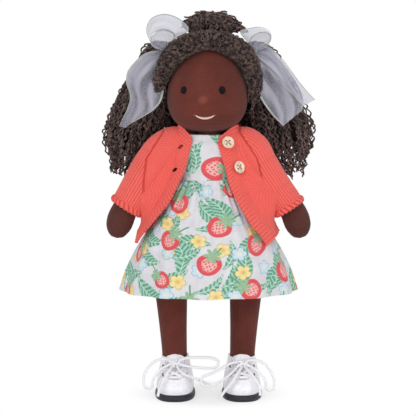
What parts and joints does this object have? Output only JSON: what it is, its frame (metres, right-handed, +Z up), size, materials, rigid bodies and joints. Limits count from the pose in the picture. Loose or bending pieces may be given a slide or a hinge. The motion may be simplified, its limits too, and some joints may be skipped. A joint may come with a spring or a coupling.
{
  "type": "rag doll",
  "caption": "Soft cloth doll that stands in lace-up shoes, in a printed cotton dress and an open knitted cardigan, with long curly yarn hair tied in ribbon bows.",
  "frame": {"origin": "on the floor, midway between the shoes and under the middle of the doll's outline", "axes": "+Z up, the doll faces -Y, and her left side is +X"},
  "size_m": [0.214, 0.132, 0.3856],
  "materials": {
    "skin": "matt brushed cotton knit",
    "stuffing": "loose fibre",
    "cotton": "plain woven cotton, printed all over with flowers and leaves",
    "knit": "soft matt knitted yarn",
    "wood": "pale, smooth, satin",
    "red_thread": "sewing thread",
    "black_thread": "satin embroidery thread",
    "white_thread": "embroidery thread",
    "hair": "curly boucle yarn",
    "ribbon": "sheer crisp organza",
    "elastic": "covered elastic",
    "patent": "glossy white coated",
    "sole": "dark, semi-matt",
    "lace": "woven cotton"
  },
  "bodies": {
    "torso": {"torso_cover": "skin", "torso_stuffing": "stuffing", "dress_bodice": "cotton", "dress_skirt": "cotton", "cardigan_back": "knit", "cardigan_left_front": "knit", "cardigan_right_front": "knit", "button_upper": "wood", "button_lower": "wood", "button_thread_upper": "red_thread", "button_thread_lower": "red_thread"},
    "neck": {"neck": "skin"},
    "head": {"head_cover": "skin", "head_stuffing": "stuffing", "eye_left": "black_thread", "eye_right": "black_thread", "mouth": "white_thread", "hair_cap": "hair", "hair_front_roll": "hair", "hair_topknot": "hair", "hair_tie": "elastic", "hair_left_locks": "hair", "hair_right_locks": "hair", "hair_back_locks": "hair", "left_bow_ribbon": "ribbon", "left_bow_knot": "ribbon", "right_bow_ribbon": "ribbon", "right_bow_knot": "ribbon"},
    "left_arm": {"left_arm_cover": "skin", "left_arm_stuffing": "stuffing", "left_sleeve": "knit"},
    "right_arm": {"right_arm_cover": "skin", "right_arm_stuffing": "stuffing", "right_sleeve": "knit"},
    "left_leg": {"left_leg_cover": "skin", "left_leg_stuffing": "stuffing", "left_shoe_sole": "sole", "left_shoe_vamp": "patent", "left_shoe_quarters": "patent", "left_shoe_tongue": "patent", "left_lace_crossing": "lace", "left_lace_outer_loop": "lace", "left_lace_inner_loop": "lace", "left_lace_outer_tail": "lace", "left_lace_inner_tail": "lace"},
    "right_leg": {"right_leg_cover": "skin", "right_leg_stuffing": "stuffing", "right_shoe_sole": "sole", "right_shoe_vamp": "patent", "right_shoe_quarters": "patent", "right_shoe_tongue": "patent", "right_lace_crossing": "lace", "right_lace_outer_loop": "lace", "right_lace_inner_loop": "lace", "right_lace_outer_tail": "lace", "right_lace_inner_tail": "lace"}
  },
  "joints": [
    {"name": "neck_nod", "type": "hinge", "parent": "torso", "child": "neck", "pos_m": [0, 0, 0.258], "axis": [1, 0, 0], "range_deg": [-8, 12], "deforming": ["hair_left_locks", "hair_right_locks", "hair_back_locks"]},
    {"name": "head_turn", "type": "hinge", "parent": "neck", "child": "head", "pos_m": [0, 0, 0.276], "axis": [0, 0, 1], "range_deg": [-35, 35], "deforming": ["hair_left_locks", "hair_right_locks", "hair_back_locks"]},
    {"name": "left_shoulder", "type": "hinge", "parent": "torso", "child": "left_arm", "pos_m": [0.038, 0, 0.252], "axis": [-1, 0, 0], "range_deg": [-20, 100], "deforming": ["cardigan_back", "cardigan_left_front", "hair_left_locks", "left_bow_ribbon"]},
    {"name": "right_shoulder", "type": "hinge", "parent": "torso", "child": "right_arm", "pos_m": [-0.038, 0, 0.252], "axis": [-1, 0, 0], "range_deg": [-20, 100], "deforming": ["cardigan_back", "cardigan_right_front", "hair_right_locks", "right_bow_ribbon"]},
    {"name": "left_hip", "type": "hinge", "parent": "torso", "child": "left_leg", "pos_m": [0.039, 0, 0.1482], "axis": [-1, 0, 0], "range_deg": [-15, 90], "deforming": ["dress_skirt", "cardigan_left_front", "left_lace_inner_loop", "right_lace_inner_loop", "right_lace_inner_tail"]},
    {"name": "right_hip", "type": "hinge", "parent": "torso", "child": "right_leg", "pos_m": [-0.039, 0, 0.1482], "axis": [-1, 0, 0], "range_deg": [-15, 90], "deforming": ["dress_skirt", "cardigan_right_front", "left_lace_inner_loop", "right_lace_inner_loop", "right_lace_inner_tail"]}
  ]
}
